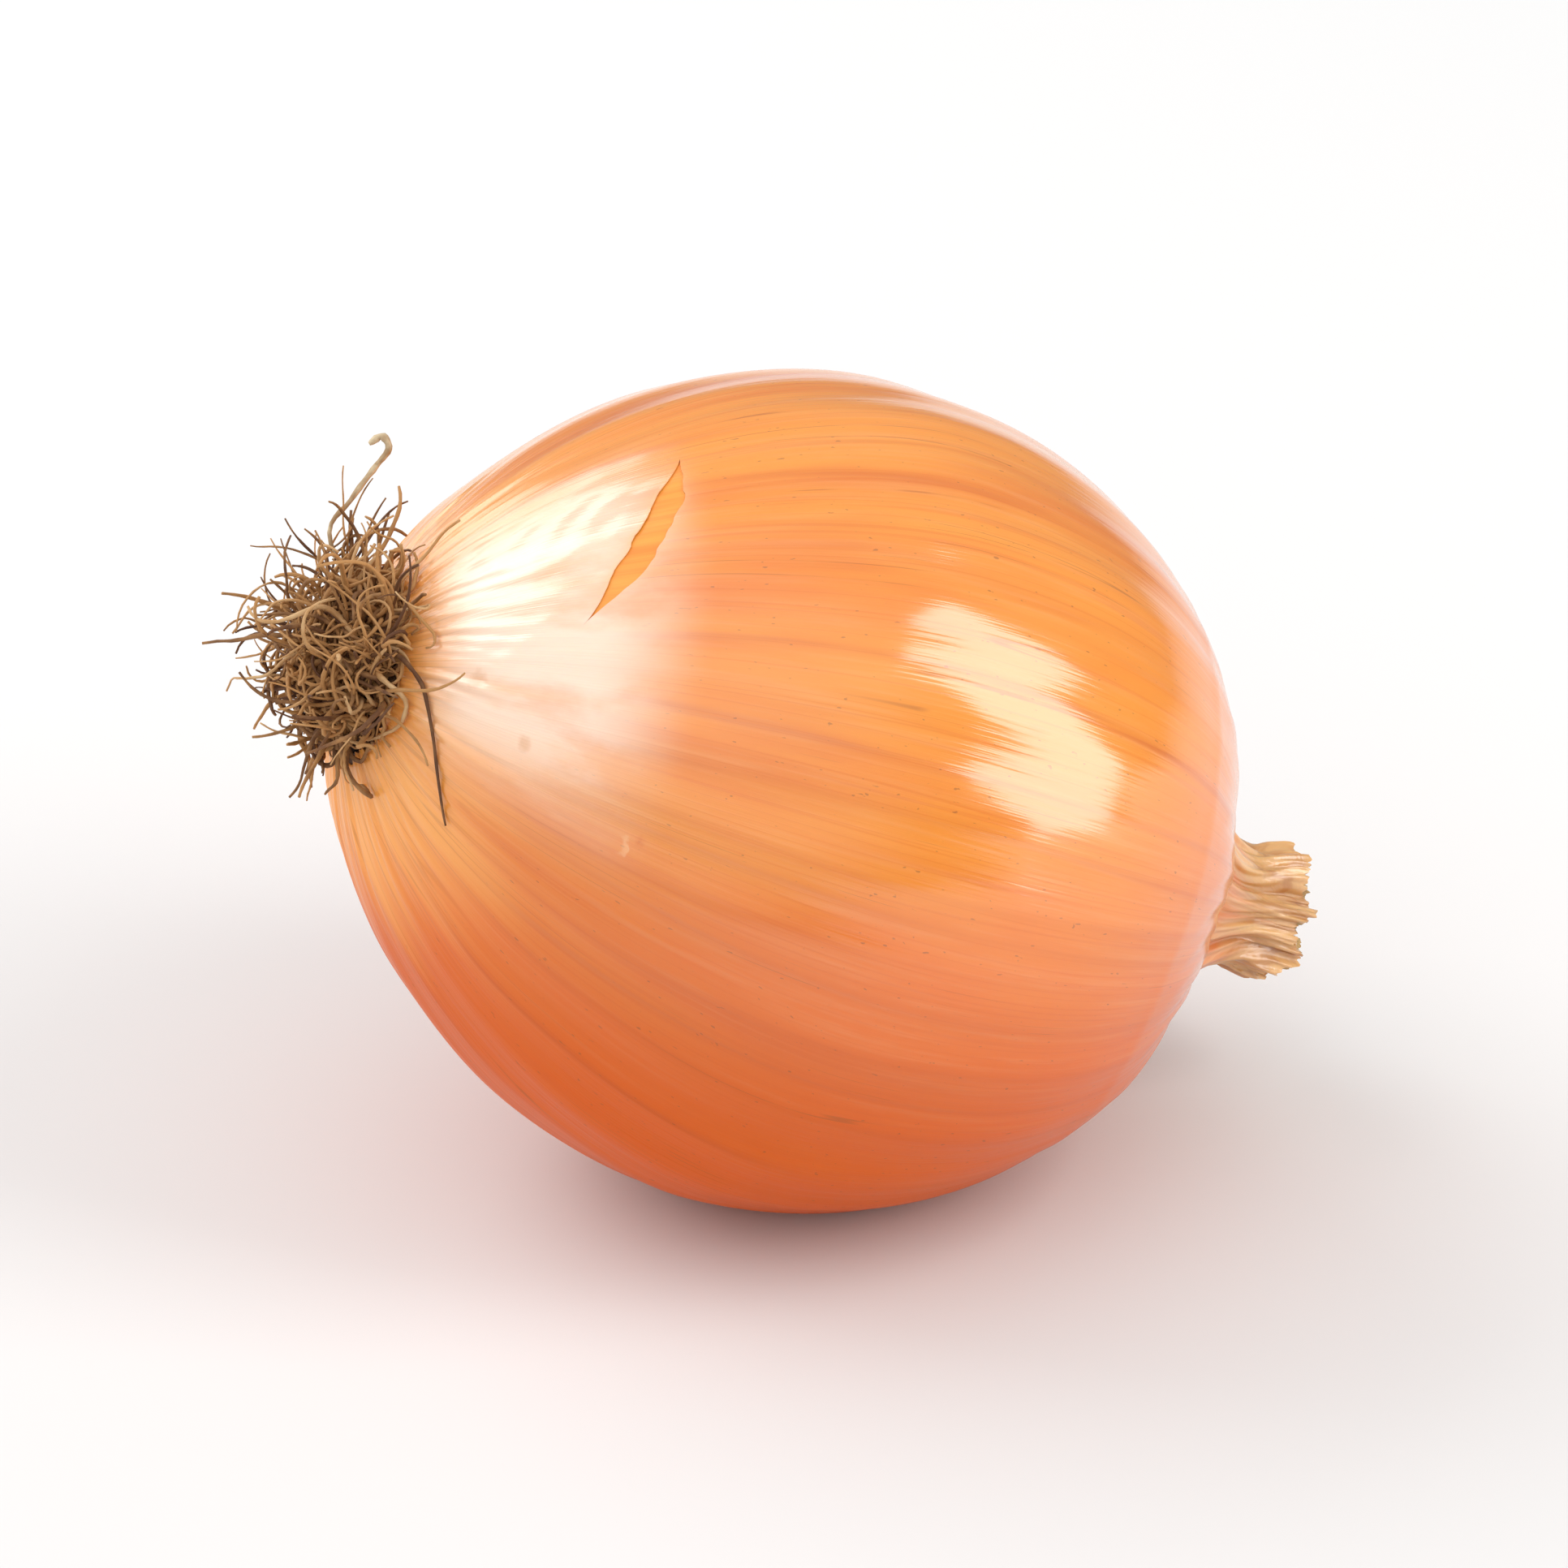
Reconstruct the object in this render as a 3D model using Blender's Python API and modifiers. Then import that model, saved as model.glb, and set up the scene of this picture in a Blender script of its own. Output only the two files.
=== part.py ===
"""One yellow onion, as pulled and dried, lying on a small flat spot of its side.

The bulb is one solid with its papery skin and its short dried neck. The dried
roots and the corky plate that they grow from are a second solid, which sits in
a shallow dish at the root end. Metres, +Z up, the neck points to +X.
"""
import math
import random

import bmesh
import bpy
from mathutils import Matrix, Quaternion, Vector

MM = 0.001

# The bulb stands on its roots while it is modelled: neck at +Z, roots at -Z
BULB_RADIUS = 32.5 * MM
ROOT_HALF_LENGTH = 38.0 * MM
ROOT_END_FULLNESS = 1.75
NECK_HALF_LENGTH = 35.6 * MM
NECK_END_FULLNESS = 2.1
BULB_SIDES = 84
PROFILE_STEP = 2.7 * MM
FINE_STEP = 1.35 * MM

# The dried neck, cut short, with a dark hollow between its skins
NECK_RADIUS = 3.9 * MM
NECK_RIM_HEIGHT = 46.0 * MM
NECK_FLARE = 0.9 * MM
SHOULDER_TOP = 42.0 * MM
SHOULDER_DEPTH = 17.0 * MM
SHOULDER_WIDTH = 17.8 * MM
SHOULDER_BLEND = 3.5 * MM
NECK_WALL = 1.7 * MM
NECK_HOLLOW_DEPTH = 3.4 * MM
NECK_BEND = 3.2 * MM
NECK_BEND_FROM = 26.0 * MM
NECK_RAGGED = 1.4 * MM

# Relief of the skin
RIB_COUNT = 28
RIB_HEIGHT = 0.16 * MM
PLEAT_COUNT = 12
PLEAT_DEPTH = 0.55 * MM
OUT_OF_ROUND = 0.012
TEAR_DEPTH = 0.5 * MM
TEAR_HALF_WIDTH = 1.9 * MM
TEAR_HALF_LENGTH = 8.5 * MM
TEAR_HEIGHT = -23.5 * MM
TEAR_ANGLE = math.radians(203)
TEAR_SLANT = 0.3

# The dish at the root end and the corky plate in it
DISH_RADIUS = 6.3 * MM
DISH_LIP = 0.7 * MM
DISH_DEPTH = 3.4 * MM
FIT_GAP = 0.3 * MM
PLATE_DOME = 3.5 * MM

# The dried roots
ROOT_COUNT = 80
ROOT_BEVEL = 0.45 * MM
ROOT_TIP_SHARE = 0.72
ROOT_LENGTH = 12.0 * MM
ROOT_SINK = 1.2 * MM
ROOT_PIECES = 5
ROOT_SEED = 9
ROOT_CLEARANCE = 0.95 * MM
ROOT_LEAN = 0.62
ROOT_LOWER_LOSS = 0.42

# Two roots that stand out in the photo: points in millimetres, as the bulb stands
RISING_ROOT = [
    (-3.0, 3.4, -36.8),
    (-7.0, 8.0, -40.4),
    (-9.7, 9.9, -39.2),
    (-12.2, 11.4, -37.8),
    (-13.7, 12.2, -37.0),
    (-14.3, 12.9, -37.6),
    (-13.4, 13.0, -38.3),
]
LYING_ROOT = [
    (-2.6, -2.6, -37.4),
    (-4.6, -6.2, -38.8),
    (-3.6, -9.0, -36.0),
    (-1.2, -11.6, -34.0),
    (1.6, -13.4, -33.0),
    (4.4, -14.8, -32.0),
]

# How the onion lies: the root end is up, the neck points to +X and down
TILT = math.radians(23.7)
FLAT_SPOT_RADIUS = 9.0 * MM

SKIN_COLOUR = (0.80, 0.27, 0.055, 1.0)
ROOT_COLOUR = (0.30, 0.14, 0.055, 1.0)


def clear_scene():
    """Take every object out of the file that is open."""
    for thing in list(bpy.data.objects):
        bpy.data.objects.remove(thing, do_unlink=True)


def new_collection(name):
    """Add a collection to the scene."""
    collection = bpy.data.collections.new(name)
    bpy.context.scene.collection.children.link(collection)
    return collection


def make_material(name, colour, roughness):
    """Make a plain material of one colour."""
    material = bpy.data.materials.new(name)
    material.use_nodes = True
    shader = material.node_tree.nodes["Principled BSDF"]
    shader.inputs["Base Color"].default_value = colour
    shader.inputs["Roughness"].default_value = roughness
    shader.inputs["Metallic"].default_value = 0.0
    material.diffuse_color = colour
    return material


def smooth_step(low, high, value):
    """Rise from 0 at low to 1 at high, without corners."""
    share = min(1.0, max(0.0, (value - low) / (high - low)))
    return share * share * (3.0 - 2.0 * share)


def smooth_max(first, second, blend):
    """The larger of two lengths, with a fillet where they are alike."""
    share = max(0.0, 1.0 - abs(first - second) / blend)
    return max(first, second) + share * share * blend / 4.0


def rounded(height, half_length, fullness):
    """Radius of the rounded bulb at a height, for one of its two halves."""
    share = min(1.0, abs(height) / half_length)
    return BULB_RADIUS * (1.0 - share ** fullness) ** (1.0 / fullness)


def skin_radius(height):
    """Radius of the outside at a height, from the dish to the neck's rim."""
    if height < 0.0:
        return rounded(height, ROOT_HALF_LENGTH, ROOT_END_FULLNESS)
    body = rounded(height, NECK_HALF_LENGTH, NECK_END_FULLNESS)
    flare = smooth_step(NECK_HALF_LENGTH, NECK_RIM_HEIGHT, height)
    below_top = min(1.0, max(0.0, SHOULDER_TOP - height) / SHOULDER_DEPTH)
    neck = NECK_RADIUS + NECK_FLARE * flare + SHOULDER_WIDTH * below_top ** 1.6
    return smooth_max(body, neck, SHOULDER_BLEND)


def root_end_height(radius):
    """Height of the rounded root end at a distance from the axis."""
    share = min(1.0, radius / BULB_RADIUS)
    return -ROOT_HALF_LENGTH * (1.0 - share ** ROOT_END_FULLNESS) ** (1.0 / ROOT_END_FULLNESS)


def evenly_spaced(points, step):
    """Points along a line of points, about one step apart."""
    lengths = [0.0]
    for before, after in zip(points, points[1:]):
        lengths.append(lengths[-1] + math.dist(before, after))
    count = max(1, round(lengths[-1] / step))
    spaced = []
    place = 0
    for index in range(count + 1):
        wanted = lengths[-1] * index / count
        while place < len(lengths) - 2 and lengths[place + 1] < wanted:
            place += 1
        share = (wanted - lengths[place]) / (lengths[place + 1] - lengths[place])
        spaced.append(tuple(a + (b - a) * share for a, b in zip(points[place], points[place + 1])))
    return spaced


def outline_between(low, high):
    """Fine points of the outside, (radius, height), between two heights."""
    count = 400
    heights = [low + (high - low) * index / count for index in range(count + 1)]
    return [(skin_radius(height), height) for height in heights]


def bulb_profile():
    """Half outline of the bulb, (radius, height), from the root end to the neck."""
    lip_height = root_end_height(DISH_RADIUS + DISH_LIP)
    dish_floor = lip_height + DISH_DEPTH
    dish = [(0.0, dish_floor), (DISH_RADIUS * 0.55, dish_floor), (DISH_RADIUS, dish_floor)]
    lip = [(DISH_RADIUS, lip_height + 0.25 * DISH_LIP), (DISH_RADIUS + 0.45 * DISH_LIP, lip_height)]

    below_tear = TEAR_HEIGHT - 5.0 * MM
    above_tear = TEAR_HEIGHT + 5.0 * MM
    outside = evenly_spaced(outline_between(lip_height, below_tear), PROFILE_STEP)
    outside += evenly_spaced(outline_between(below_tear, above_tear), FINE_STEP)[1:]
    outside += evenly_spaced(outline_between(above_tear, NECK_RIM_HEIGHT), PROFILE_STEP)[1:]

    rim_radius = outside[-1][0]
    inside = rim_radius - NECK_WALL
    hollow_floor = NECK_RIM_HEIGHT - NECK_HOLLOW_DEPTH
    hollow = [
        (rim_radius - 0.5 * NECK_WALL, NECK_RIM_HEIGHT + 0.35 * NECK_WALL),
        (inside, NECK_RIM_HEIGHT - 0.1 * NECK_WALL),
        (inside * 0.86, NECK_RIM_HEIGHT - 0.5 * NECK_HOLLOW_DEPTH),
        (inside * 0.62, hollow_floor),
        (0.0, hollow_floor),
    ]
    return dish + lip + outside + hollow


def turned(name, profile, sides):
    """Turn a half outline round the Z axis into a closed mesh object."""
    flat = bpy.data.meshes.new(name + "_profile")
    flat.from_pydata(
        [(radius, 0.0, height) for radius, height in profile],
        [(index, index + 1) for index in range(len(profile) - 1)],
        [],
    )
    spun = bpy.data.objects.new(name + "_profile", flat)
    bpy.context.scene.collection.objects.link(spun)
    screw = spun.modifiers.new("turn", "SCREW")
    screw.axis = "Z"
    screw.angle = math.radians(360)
    screw.steps = sides
    screw.render_steps = sides
    screw.use_merge_vertices = True
    screw.merge_threshold = 0.00001
    mesh = bpy.data.meshes.new_from_object(spun.evaluated_get(bpy.context.evaluated_depsgraph_get()))
    bpy.data.objects.remove(spun, do_unlink=True)
    mesh.name = name
    work = bmesh.new()
    work.from_mesh(mesh)
    bmesh.ops.remove_doubles(work, verts=work.verts, dist=0.00001)
    bmesh.ops.recalc_face_normals(work, faces=work.faces)
    work.to_mesh(mesh)
    work.free()
    return bpy.data.objects.new(name, mesh)


def tear_depth(height, angle, radius):
    """How far the skin is sunk where its outermost layer has torn open."""
    across = height - TEAR_HEIGHT
    along = (angle - TEAR_ANGLE + math.pi) % (2.0 * math.pi) - math.pi
    along *= radius
    across += along * TEAR_SLANT
    width = TEAR_HALF_WIDTH * (1.0 - smooth_step(0.4 * TEAR_HALF_LENGTH, TEAR_HALF_LENGTH, abs(along)))
    if width < 0.0002:
        return 0.0
    return TEAR_DEPTH * (1.0 - smooth_step(0.6 * width, 1.3 * width, abs(across)))


def wobble(angle):
    """Uneven waves round the axis, between about -1 and 1."""
    return 0.55 * math.cos(2 * angle + 0.7) + 0.3 * math.cos(3 * angle + 2.1) + 0.25 * math.cos(5 * angle)


def pleats(angle):
    """Pleats of the dried neck, uneven in depth."""
    return 0.7 * math.cos(PLEAT_COUNT * angle) + 0.45 * math.cos(7 * angle + 1.2)


def ragged(angle):
    """Ragged height of the neck's cut skins."""
    return 0.5 * math.sin(5 * angle + 0.4) + 0.35 * math.sin(9 * angle + 2.0) + 0.3 * math.sin(14 * angle)


def shaped_point(point):
    """Where a point of the plainly turned bulb lies on the grown one."""
    radius = math.hypot(point.x, point.y)
    if radius < 0.00001:
        angle = 0.0
    else:
        angle = math.atan2(point.y, point.x)
    height = point.z
    on_bulb = smooth_step(-34.0 * MM, -24.0 * MM, height)
    on_neck = smooth_step(20.0 * MM, 38.0 * MM, height)
    near_rim = smooth_step(NECK_RIM_HEIGHT - 6.0 * MM, NECK_RIM_HEIGHT, height)

    radius *= 1.0 + OUT_OF_ROUND * on_bulb * wobble(angle)
    radius += PLEAT_DEPTH * on_neck * pleats(angle) * min(1.0, radius / NECK_RADIUS)
    radius += RIB_HEIGHT * on_bulb * (1.0 - on_neck) * math.cos(RIB_COUNT * angle)
    radius -= tear_depth(height, angle, radius)
    height += NECK_RAGGED * near_rim * ragged(angle) * min(1.0, radius / NECK_RADIUS)
    bend = NECK_BEND * (max(0.0, point.z - NECK_BEND_FROM) / (NECK_RIM_HEIGHT - NECK_BEND_FROM)) ** 2
    return Vector((radius * math.cos(angle) + 0.3 * bend, radius * math.sin(angle) + bend, height))


def lying_matrix():
    """Turn the onion from standing on its roots to lying with its neck down at +X."""
    centre_height = lowest_reach() - flat_spot_depth()
    lay_down = Matrix.Rotation(math.radians(90) + TILT, 4, "Y")
    return Matrix.Translation((-flat_spot_offset(), 0.0, centre_height)) @ lay_down


def mean_half_length():
    """Half length of the bulb that its lower side is rounded to."""
    return (ROOT_HALF_LENGTH + NECK_HALF_LENGTH) / 2.0


def lowest_reach():
    """How far the tilted bulb would reach below its centre if it weren't flattened."""
    return math.hypot(mean_half_length() * math.sin(TILT), BULB_RADIUS * math.cos(TILT))


def flat_spot_depth():
    """Depth that is lost to a flat spot of the wanted radius."""
    return FLAT_SPOT_RADIUS ** 2 / (2.0 * lowest_reach())


def flat_spot_offset():
    """How far the flat spot's middle lies to the neck's side of the bulb's centre."""
    leaning = (mean_half_length() ** 2 - BULB_RADIUS ** 2) * math.sin(TILT) * math.cos(TILT)
    return leaning / lowest_reach()


def cut_flat_spot(mesh, placed):
    """Cut the bulb along the plane that it rests on."""
    back = placed.inverted()
    work = bmesh.new()
    work.from_mesh(mesh)
    bmesh.ops.bisect_plane(
        work,
        geom=work.verts[:] + work.edges[:] + work.faces[:],
        dist=0.000001,
        plane_co=back @ Vector((0.0, 0.0, 0.0)),
        plane_no=back.to_3x3() @ Vector((0.0, 0.0, -1.0)),
        clear_outer=True,
    )
    open_edges = [edge for edge in work.edges if edge.is_boundary]
    bmesh.ops.holes_fill(work, edges=open_edges, sides=0)
    bmesh.ops.recalc_face_normals(work, faces=work.faces)
    work.to_mesh(mesh)
    work.free()


def make_bulb(placed, material, collection):
    """The bulb with its skin and its dried neck, as one solid."""
    bulb = turned("bulb", bulb_profile(), BULB_SIDES)
    for vertex in bulb.data.vertices:
        vertex.co = shaped_point(vertex.co)
    cut_flat_spot(bulb.data, placed)
    bulb.data.materials.clear()
    bulb.data.materials.append(material)
    bulb.data.shade_smooth()
    collection.objects.link(bulb)
    return bulb


def plate_profile():
    """Half outline of the corky plate, (radius, height), from its face to its back."""
    lip_height = root_end_height(DISH_RADIUS + DISH_LIP)
    back = lip_height + DISH_DEPTH - FIT_GAP
    edge = DISH_RADIUS - FIT_GAP
    return [
        (0.0, lip_height - PLATE_DOME),
        (0.5 * edge, lip_height - 0.8 * PLATE_DOME),
        (0.85 * edge, lip_height - 0.3 * PLATE_DOME),
        (edge, lip_height + 0.4 * MM),
        (edge, back),
        (0.0, back),
    ]


def clear_of_skin(point):
    """Move a point of a root out to where it lies clear of the bulb."""
    radius = math.hypot(point.x, point.y)
    limit = root_end_height(radius) - ROOT_CLEARANCE * (1.0 + 0.6 * radius / BULB_RADIUS)
    if point.z > limit:
        point = Vector((point.x, point.y, limit))
    return point


def root_path(index, draw):
    """Centre line of one dried root, from inside the plate to its tip."""
    golden_turn = math.radians(137.5)
    share = math.sqrt((index + 0.5) / ROOT_COUNT)
    angle = index * golden_turn
    outward = Vector((math.cos(angle), math.sin(angle), 0.0))
    edge = (DISH_RADIUS - FIT_GAP) * 0.86
    lip_height = root_end_height(DISH_RADIUS + DISH_LIP)
    start = outward * edge * share
    start.z = lip_height - PLATE_DOME * (1.0 - 0.8 * share * share)

    splay = math.radians(8 + 50 * share) + draw.uniform(-0.2, 0.2)
    heading = Vector((-ROOT_LEAN, 0.0, -math.cos(splay))) + outward * math.sin(splay)
    heading.normalize()
    length = ROOT_LENGTH * draw.uniform(0.6, 1.15) * (1.0 - ROOT_LOWER_LOSS * max(0.0, outward.x))
    curl_axis = Vector((draw.uniform(-1, 1), draw.uniform(-1, 1), draw.uniform(-1, 1))).normalized()
    curl = math.radians(draw.uniform(60, 190)) / ROOT_PIECES
    points = [start - heading * ROOT_SINK]
    place = start.copy()
    for _ in range(ROOT_PIECES):
        heading = Quaternion(curl_axis, curl) @ heading
        place = clear_of_skin(place + heading * length / ROOT_PIECES)
        points.append(place.copy())
    return points


def named_root(points_in_mm):
    """Centre line of a root that is given by its points, kept clear of the skin."""
    return [clear_of_skin(Vector(point) * MM) for point in points_in_mm]


def root_mesh(name, points):
    """A tapering tube along a root's centre line, as a mesh object."""
    curve = bpy.data.curves.new(name, "CURVE")
    curve.dimensions = "3D"
    curve.bevel_depth = ROOT_BEVEL
    curve.bevel_resolution = 0
    curve.use_fill_caps = True
    spline = curve.splines.new("POLY")
    spline.points.add(len(points) - 1)
    for index, point in enumerate(points):
        spline.points[index].co = (*point, 1.0)
        spline.points[index].radius = 1.0 - (1.0 - ROOT_TIP_SHARE) * index / (len(points) - 1)
    line = bpy.data.objects.new(name, curve)
    bpy.context.scene.collection.objects.link(line)
    mesh = bpy.data.meshes.new_from_object(line.evaluated_get(bpy.context.evaluated_depsgraph_get()))
    bpy.data.objects.remove(line, do_unlink=True)
    work = bmesh.new()
    work.from_mesh(mesh)
    bmesh.ops.remove_doubles(work, verts=work.verts, dist=0.00001)
    bmesh.ops.recalc_face_normals(work, faces=work.faces)
    work.to_mesh(mesh)
    work.free()
    return bpy.data.objects.new(name, mesh)


def make_root_tuft(material, collection, loose_roots):
    """The corky plate and its dried roots, fused into one solid."""
    tuft = turned("root_tuft", plate_profile(), 24)
    collection.objects.link(tuft)
    draw = random.Random(ROOT_SEED)
    paths = [root_path(index, draw) for index in range(ROOT_COUNT)]
    paths.append(named_root(RISING_ROOT))
    paths.append(named_root(LYING_ROOT))
    for index, path in enumerate(paths):
        loose_roots.objects.link(root_mesh(f"root_{index}", path))
    union = tuft.modifiers.new("fuse", "BOOLEAN")
    union.operation = "UNION"
    union.operand_type = "COLLECTION"
    union.collection = loose_roots
    union.solver = "MANIFOLD"
    fused = bpy.data.meshes.new_from_object(tuft.evaluated_get(bpy.context.evaluated_depsgraph_get()))
    tuft.modifiers.clear()
    tuft.data = fused
    for piece in list(loose_roots.objects):
        bpy.data.objects.remove(piece, do_unlink=True)
    tuft.data.materials.clear()
    tuft.data.materials.append(material)
    tuft.data.shade_smooth()
    return tuft


def main():
    clear_scene()
    collection = new_collection("onion")
    loose_roots = new_collection("loose_roots")
    skin = make_material("onion_skin", SKIN_COLOUR, 0.32)
    dried_root = make_material("dried_root", ROOT_COLOUR, 0.85)

    placed = lying_matrix()
    bulb = make_bulb(placed, skin, collection)
    tuft = make_root_tuft(dried_root, collection, loose_roots)
    bulb.matrix_world = placed
    tuft.parent = bulb
    bpy.data.collections.remove(loose_roots)


main()
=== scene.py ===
"""The looks of one yellow onion: papery skins, dried neck, root plate and dried roots.

Every piece is shaped as the bulb stands on its roots, neck at +Z, with the same
formulas and driving dimensions as the solids. Its mesh is then laid down.
"""
import math
import random

import bmesh
import bpy
import numpy as np
from mathutils import Matrix, Quaternion, Vector


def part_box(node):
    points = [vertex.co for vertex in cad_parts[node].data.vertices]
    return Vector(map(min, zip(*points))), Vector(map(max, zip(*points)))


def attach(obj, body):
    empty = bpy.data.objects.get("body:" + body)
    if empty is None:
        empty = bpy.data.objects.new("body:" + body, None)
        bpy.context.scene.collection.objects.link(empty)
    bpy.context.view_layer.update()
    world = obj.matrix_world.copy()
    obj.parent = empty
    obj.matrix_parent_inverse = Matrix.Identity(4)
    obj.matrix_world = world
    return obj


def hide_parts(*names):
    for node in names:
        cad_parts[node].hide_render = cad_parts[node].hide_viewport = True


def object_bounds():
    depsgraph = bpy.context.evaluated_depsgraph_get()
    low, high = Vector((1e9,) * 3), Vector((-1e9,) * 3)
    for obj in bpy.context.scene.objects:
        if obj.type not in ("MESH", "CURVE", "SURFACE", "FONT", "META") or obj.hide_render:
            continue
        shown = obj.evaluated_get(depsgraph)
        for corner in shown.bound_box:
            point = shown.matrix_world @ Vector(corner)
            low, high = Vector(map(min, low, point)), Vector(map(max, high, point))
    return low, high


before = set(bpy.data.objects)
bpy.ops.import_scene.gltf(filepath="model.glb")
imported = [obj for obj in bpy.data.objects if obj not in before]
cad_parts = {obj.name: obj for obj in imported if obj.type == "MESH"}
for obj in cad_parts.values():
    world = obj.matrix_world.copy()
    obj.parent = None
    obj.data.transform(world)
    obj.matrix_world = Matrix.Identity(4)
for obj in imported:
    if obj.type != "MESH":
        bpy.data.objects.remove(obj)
cad_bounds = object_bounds()

MM = 0.001

# Driving dimensions of the solids
BULB_RADIUS = 32.5 * MM
ROOT_HALF_LENGTH = 38.0 * MM
ROOT_END_FULLNESS = 1.75
NECK_HALF_LENGTH = 35.6 * MM
NECK_END_FULLNESS = 2.1
NECK_RADIUS = 3.9 * MM
NECK_RIM_HEIGHT = 46.0 * MM
NECK_FLARE = 0.9 * MM
SHOULDER_TOP = 42.0 * MM
SHOULDER_DEPTH = 17.0 * MM
SHOULDER_WIDTH = 17.8 * MM
SHOULDER_BLEND = 3.5 * MM
NECK_BEND = 3.2 * MM
NECK_BEND_FROM = 26.0 * MM
NECK_SIDE_BEND = 0.3
NECK_RAGGED = 1.4 * MM
NECK_RIM_DEPTH = 6.0 * MM
NECK_RIM_FLARE = 0.7 * MM
PLEAT_COUNT = 12
PLEAT_DEPTH = 0.55 * MM
RIB_COUNT = 28
RIB_HEIGHT = 0.08 * MM
OUT_OF_ROUND = 0.012
DISH_RADIUS = 6.3 * MM
DISH_LIP = 0.7 * MM
PLATE_RADIUS = 6.0 * MM
PLATE_DOME = 3.1 * MM
TILT = math.radians(23.7)
FLAT_SPOT_RADIUS = 9.0 * MM
FLOOR_CLEARANCE = 0.03 * MM
OUTLINE_STEPS = 4000

# Heights between which features set in or die out, as the bulb stands
SHAPE_SETS_IN = (-34.0 * MM, -24.0 * MM)
PLEATS_SET_IN = (20.0 * MM, 38.0 * MM)
VEINS_SET_IN = (-36.0 * MM, -26.0 * MM)
COLLAR_DIES_OUT = (-35.5 * MM, -27.0 * MM)
NECK_WRINKLES_SET_IN = (24.0 * MM, 37.0 * MM)
CREASE_SHADE_SETS_IN = (24.0 * MM, 36.0 * MM)
UNDER_NECK_SETS_IN = (28.0 * MM, 36.0 * MM)
LOOSE_SETS_IN = (-36.6 * MM, -33.0 * MM)
LOOSE_DIES_OUT = (-27.5 * MM, -19.5 * MM)

# The skins
SKIN_COLUMNS = 440
COLLAR_ROWS = 52
BODY_ROWS = 146
NECK_INSIDE_ROWS = 12
PAPER_THICKNESS = 0.10 * MM
COLLAR_RADIUS = 6.4 * MM
VEIN_COUNT = 52
VEIN_HEIGHT = 0.032 * MM
VEIN_WIDTH = 0.55 * MM
DENT_DEPTH = 0.11 * MM
DENT_WAVES = 12
COLLAR_RAGGED = 0.5 * MM
COLLAR_CURL = 0.3 * MM
COLLAR_CURL_LENGTH = 0.8 * MM
COLLAR_WRINKLE = 0.07 * MM
NECK_WRINKLE = 0.12 * MM
UNDER_SKIN_DEPTH = 0.12 * MM
UNDER_NECK_DEPTH = 0.80 * MM
NECK_PAPER = 0.28 * MM
SHARP_ANGLE = math.radians(55)
SAME_POINT = 0.001 * MM
SKIN_SEED = 5
UNDER_COLUMNS = 260
UNDER_ROWS = 150
UNDER_SHORTER = 5.5 * MM

# The papery skins and torn fibres inside the cut neck
NECK_LAYER_COLUMNS = 200
NECK_LAYER_ROWS = 26
NECK_LAYER_FOOT = 38.0 * MM
NECK_LAYER_RIMS = (0.4 * MM, 0.8 * MM, -0.6 * MM)
FOOT_INSET = 0.7 * MM
FIBRE_COUNT = 110
FIBRE_RADIUS = 0.085 * MM
FIBRE_SIDES = 5
FIBRE_SEED = 81

# The torn place in the outer skin, and the loose skin between it and the roots
TEAR_ANGLE = math.radians(206)
TEAR_HALF_ANGLE = math.radians(19)
TEAR_HEIGHT = -24.0 * MM
TEAR_SLANT = 0.436
TEAR_BEND = 8.5
TEAR_HALF_WIDTH = 1.25 * MM
TEAR_LIFT = 0.02 * MM
TEAR_LIFT_LENGTH = 1.5 * MM
LOOSE_ANGLE = math.radians(225)
LOOSE_HALF_ANGLE = math.radians(55)
LOOSE_FOLD = 0.06 * MM
CROSS_FOLD = 0.07 * MM
CROSS_FOLD_SPACING = 3.6 * MM

# The root plate
PLATE_COLUMNS = 120
PLATE_ROWS = 30
PLATE_BUMP = 0.3 * MM
PLATE_BACK = 1.6 * MM

# The dried roots
LONG_ROOTS = 250
FELT_ROOTS = 570
ROOT_RADIUS = 0.18 * MM
ROOT_LENGTH = 12.5 * MM
ROOT_POINTS = 20
ROOT_SIDES = 5
ROOT_LEAN = 0.62
ROOT_LOWER_LOSS = 0.42
ROOT_MARGIN = 0.35 * MM
ROOT_CLEARANCE = 0.4 * MM
ROOT_SHORTEST = 3.0 * MM
ROOT_SHORTENING = 0.85
ROOT_START = 0.93
ROOT_TURN = math.radians(137.5)
ROOT_SEED = 11
RISING_POINTS = 34
RISING_RADIUS = 0.30 * MM
RISING_TINT = 1.7
LYING_POINTS = 30
LYING_RADIUS = 0.20 * MM
LYING_TINT = 0.1

# Two roots that stand out in the photo: points in millimetres, as the bulb stands
RISING_ROOT = [
    (-3.0, 3.4, -36.8),
    (-7.0, 8.0, -40.4),
    (-9.7, 9.9, -39.2),
    (-12.2, 11.4, -37.8),
    (-13.7, 12.2, -37.0),
    (-14.3, 12.9, -37.6),
    (-13.4, 13.0, -38.3),
]
LYING_ROOT = [
    (-2.6, -2.6, -37.4),
    (-4.6, -6.2, -37.4),
    (-3.6, -9.0, -35.5),
    (-1.2, -11.6, -34.0),
    (1.6, -13.4, -33.0),
    (4.4, -14.8, -32.0),
]

# Small marks in the skin: places and radii in millimetres, as the bulb stands
NICK_ROUND = (-1.50, -24.19, -22.53)
NICK_CUT = (-1.39, -23.93, -22.90)
NICK_SHADE = (-2.37, -24.81, -21.57)
BLEMISHES = [
    ((-6.63, -11.77, -33.07), 1.0),
    ((-4.59, -17.09, -29.81), 0.8),
]

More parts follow.
